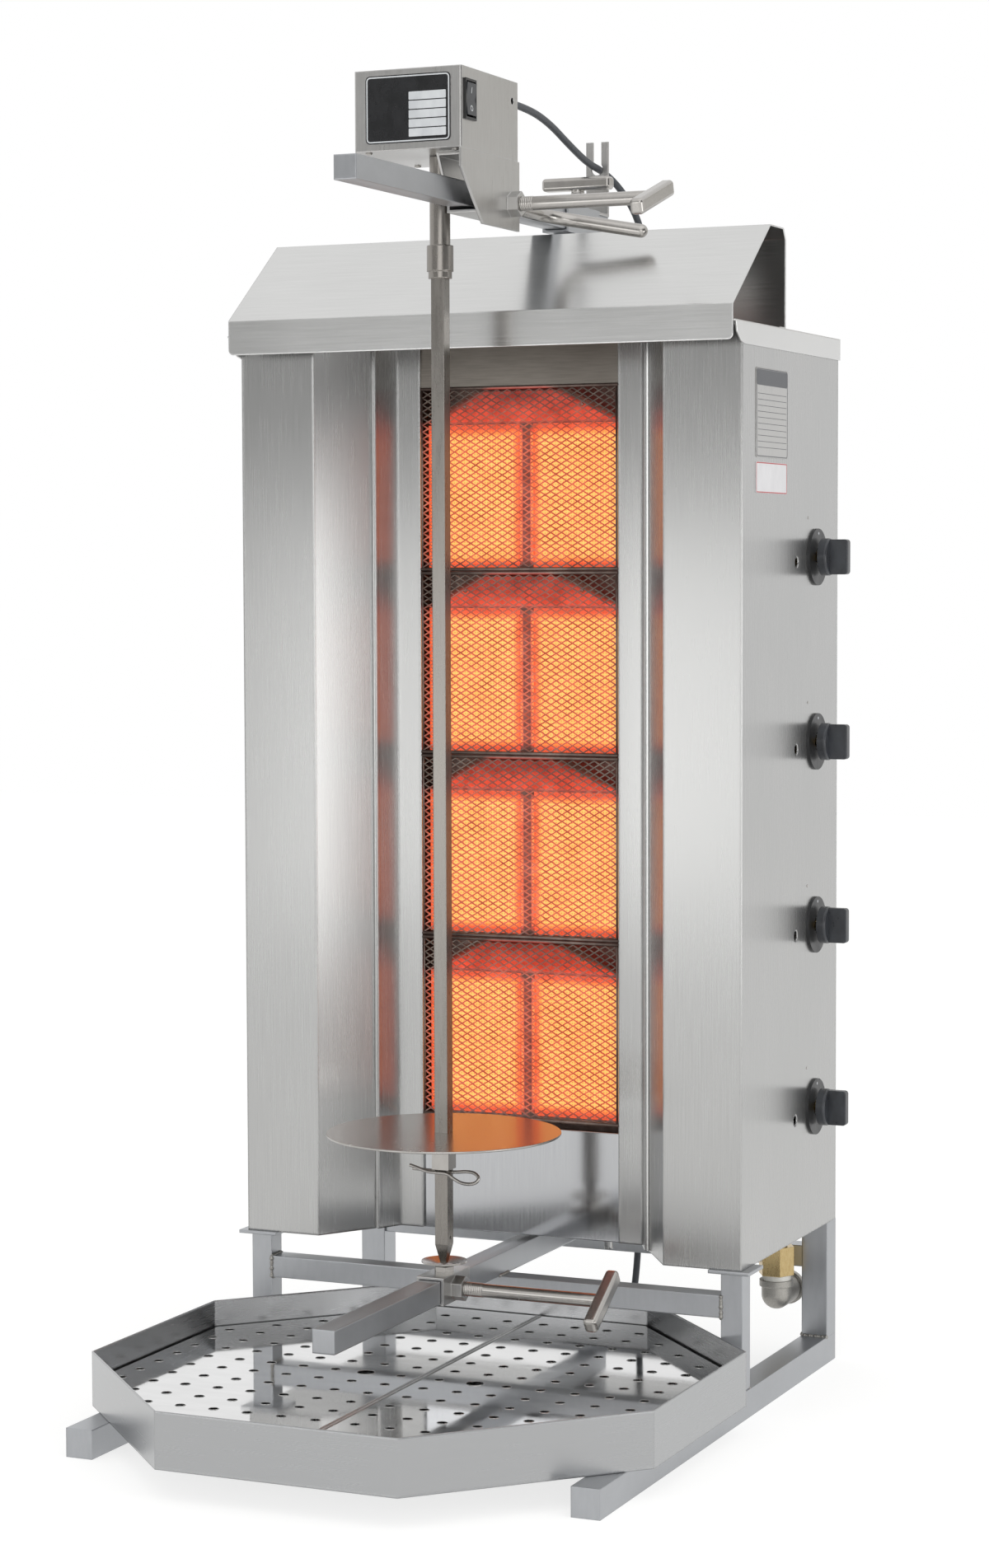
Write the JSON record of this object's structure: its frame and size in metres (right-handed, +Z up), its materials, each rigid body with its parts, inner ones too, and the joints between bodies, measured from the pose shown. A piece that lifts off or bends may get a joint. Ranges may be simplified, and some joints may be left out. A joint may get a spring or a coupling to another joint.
{
  "type": "gas doner kebab grill",
  "caption": "Upright gas roasting grill with a motor-driven vertical spit on sliding arms, stacked infrared burners behind mesh guards, a sloped hood and a pull-out octagonal drip tray.",
  "frame": {"origin": "on the floor, in the middle plane between the runners, under the front face of the body's columns", "axes": "+X to the right side with the knobs, +Y to the back, +Z up"},
  "size_m": [0.535, 0.7054, 1.169],
  "materials": {
    "frame_tube": "satin stainless tube",
    "body_sheet": "brushed stainless sheet",
    "hood_sheet": "satin stainless sheet",
    "mirror_sheet": "polished stainless sheet",
    "tray_sheet": "satin stainless sheet",
    "burner_steel": "heat-stained steel",
    "plaque": "glowing ceramic",
    "guard_mesh": "heat-stained expanded metal",
    "box_sheet": "satin stainless sheet",
    "turned_steel": "turned and ground stainless steel",
    "pipe_steel": "plain steel pipe",
    "brass": "plain brass",
    "white_seal": "white sealing ring",
    "iron": "galvanised malleable iron",
    "motor_metal": "cast aluminium",
    "black_bezel": "satin black plastic",
    "black_knob": "moulded black plastic",
    "grey_lead": "grey flexible lead"
  },
  "bodies": {
    "stand": {"runners": "frame_tube", "front_uprights": "frame_tube", "rear_uprights": "frame_tube", "front_rail": "frame_tube", "rear_rail": "frame_tube", "lower_arm": "frame_tube", "column_left": "body_sheet", "column_right": "body_sheet", "burner_strips": "body_sheet", "top_panel": "body_sheet", "lower_panel": "body_sheet", "burner_panel": "burner_steel", "back_panel": "body_sheet", "top_cover": "body_sheet", "body_floor": "body_sheet", "hood": "hood_sheet", "burner_boxes": "burner_steel", "ceramic_plaques": "plaque", "mesh_guards": "guard_mesh", "gas_manifold": "pipe_steel", "gas_valves": "brass", "gas_adaptor": "brass", "seal_ring": "white_seal", "gas_elbow": "iron", "knob_bezels": "black_bezel", "mast": "frame_tube", "arm_sleeve": "frame_tube", "upper_arm": "frame_tube", "cable_fork": "box_sheet", "mains_cord": "grey_lead", "cord_coil": "grey_lead", "mains_plug": "grey_lead"},
    "carriage": {"carriage_bracket": "box_sheet", "motor_housing": "box_sheet", "motor_base": "box_sheet", "gear_motor": "motor_metal", "pull_rod": "turned_steel", "switch_frame": "black_bezel", "cord_gland": "grey_lead"},
    "spit": {"drive_tube": "turned_steel", "spit_bar": "turned_steel"},
    "disc": {"meat_disc": "turned_steel"},
    "clip": {"clip_pin": "turned_steel"},
    "carriage_screw": {"carriage_screw": "turned_steel"},
    "rear_screw": {"rear_screw": "turned_steel"},
    "lower_clamp": {"lower_clamp": "box_sheet", "foot_dish": "turned_steel"},
    "lower_screw": {"lower_screw": "turned_steel"},
    "switch_rocker": {"rocker": "black_knob"},
    "tray": {"drip_tray": "tray_sheet"},
    "plate_left": {"drain_plate_left": "mirror_sheet"},
    "plate_right": {"drain_plate_right": "mirror_sheet"},
    "stem_1": {"valve_stem_1": "brass"},
    "knob_1": {"knob_1": "black_knob"},
    "stem_2": {"valve_stem_2": "brass"},
    "knob_2": {"knob_2": "black_knob"},
    "stem_3": {"valve_stem_3": "brass"},
    "knob_3": {"knob_3": "black_knob"},
    "stem_4": {"valve_stem_4": "brass"},
    "knob_4": {"knob_4": "black_knob"}
  },
  "joints": [
    {"name": "carriage_slide", "type": "slide", "parent": "stand", "child": "carriage", "axis": [0, 1, 0], "range_m": [-0.14, 0]},
    {"name": "lower_clamp_slide", "type": "slide", "parent": "stand", "child": "lower_clamp", "axis": [0, 1, 0], "range_m": [-0.14, 0]},
    {"name": "spit_spin", "type": "hinge", "parent": "carriage", "child": "spit", "pos_m": [0, -0.092, 1.05], "axis": [0, 0, 1], "continuous": true},
    {"name": "disc_lift", "type": "slide", "parent": "spit", "child": "disc", "axis": [0, 0, 1], "range_m": [0, 0.3]},
    {"name": "clip_pull", "type": "slide", "parent": "spit", "child": "clip", "axis": [1, 0, 0], "range_m": [0, 0.06]},
    {"name": "carriage_screw_turn", "type": "hinge", "parent": "carriage", "child": "carriage_screw", "pos_m": [0.1, -0.044, 1.063], "axis": [1, 0, 0], "range_deg": [0, 360]},
    {"name": "lower_screw_turn", "type": "hinge", "parent": "lower_clamp", "child": "lower_screw", "pos_m": [0.08, -0.097, 0.12], "axis": [1, 0, 0], "range_deg": [0, 360]},
    {"name": "rear_screw_turn", "type": "hinge", "parent": "stand", "child": "rear_screw", "pos_m": [0.022, 0.166, 1.09], "axis": [0, 0, 1], "range_deg": [0, 360]},
    {"name": "rocker_tilt", "type": "hinge", "parent": "carriage", "child": "switch_rocker", "pos_m": [0.044, -0.132, 1.142], "axis": [0, 1, 0], "range_deg": [-10, 10]},
    {"name": "tray_slide", "type": "slide", "parent": "stand", "child": "tray", "axis": [0, -1, 0], "range_m": [0, 0.3]},
    {"name": "plate_left_lift", "type": "slide", "parent": "tray", "child": "plate_left", "axis": [0, 0, 1], "range_m": [0, 0.03]},
    {"name": "plate_right_lift", "type": "slide", "parent": "tray", "child": "plate_right", "axis": [0, 0, 1], "range_m": [0, 0.03]},
    {"name": "knob_1_turn", "type": "hinge", "parent": "stand", "child": "stem_1", "pos_m": [0.25, 0.201, 0.7575], "axis": [1, 0, 0], "range_deg": [0, 180]},
    {"name": "knob_1_push", "type": "slide", "parent": "stem_1", "child": "knob_1", "axis": [-1, 0, 0], "range_m": [0, 0.003], "stiffness_N_per_m": 800, "springref_m": -0.001},
    {"name": "knob_2_turn", "type": "hinge", "parent": "stand", "child": "stem_2", "pos_m": [0.25, 0.201, 0.5884], "axis": [1, 0, 0], "range_deg": [0, 180]},
    {"name": "knob_2_push", "type": "slide", "parent": "stem_2", "child": "knob_2", "axis": [-1, 0, 0], "range_m": [0, 0.003], "stiffness_N_per_m": 800, "springref_m": -0.001},
    {"name": "knob_3_turn", "type": "hinge", "parent": "stand", "child": "stem_3", "pos_m": [0.25, 0.201, 0.4193], "axis": [1, 0, 0], "range_deg": [0, 180]},
    {"name": "knob_3_push", "type": "slide", "parent": "stem_3", "child": "knob_3", "axis": [-1, 0, 0], "range_m": [0, 0.003], "stiffness_N_per_m": 800, "springref_m": -0.001},
    {"name": "knob_4_turn", "type": "hinge", "parent": "stand", "child": "stem_4", "pos_m": [0.25, 0.201, 0.2502], "axis": [1, 0, 0], "range_deg": [0, 180]},
    {"name": "knob_4_push", "type": "slide", "parent": "stem_4", "child": "knob_4", "axis": [-1, 0, 0], "range_m": [0, 0.003], "stiffness_N_per_m": 800, "springref_m": -0.001}
  ],
  "couplings": [
    {"joint": "lower_clamp_slide", "follows": "carriage_slide", "ratio": 1}
  ]
}
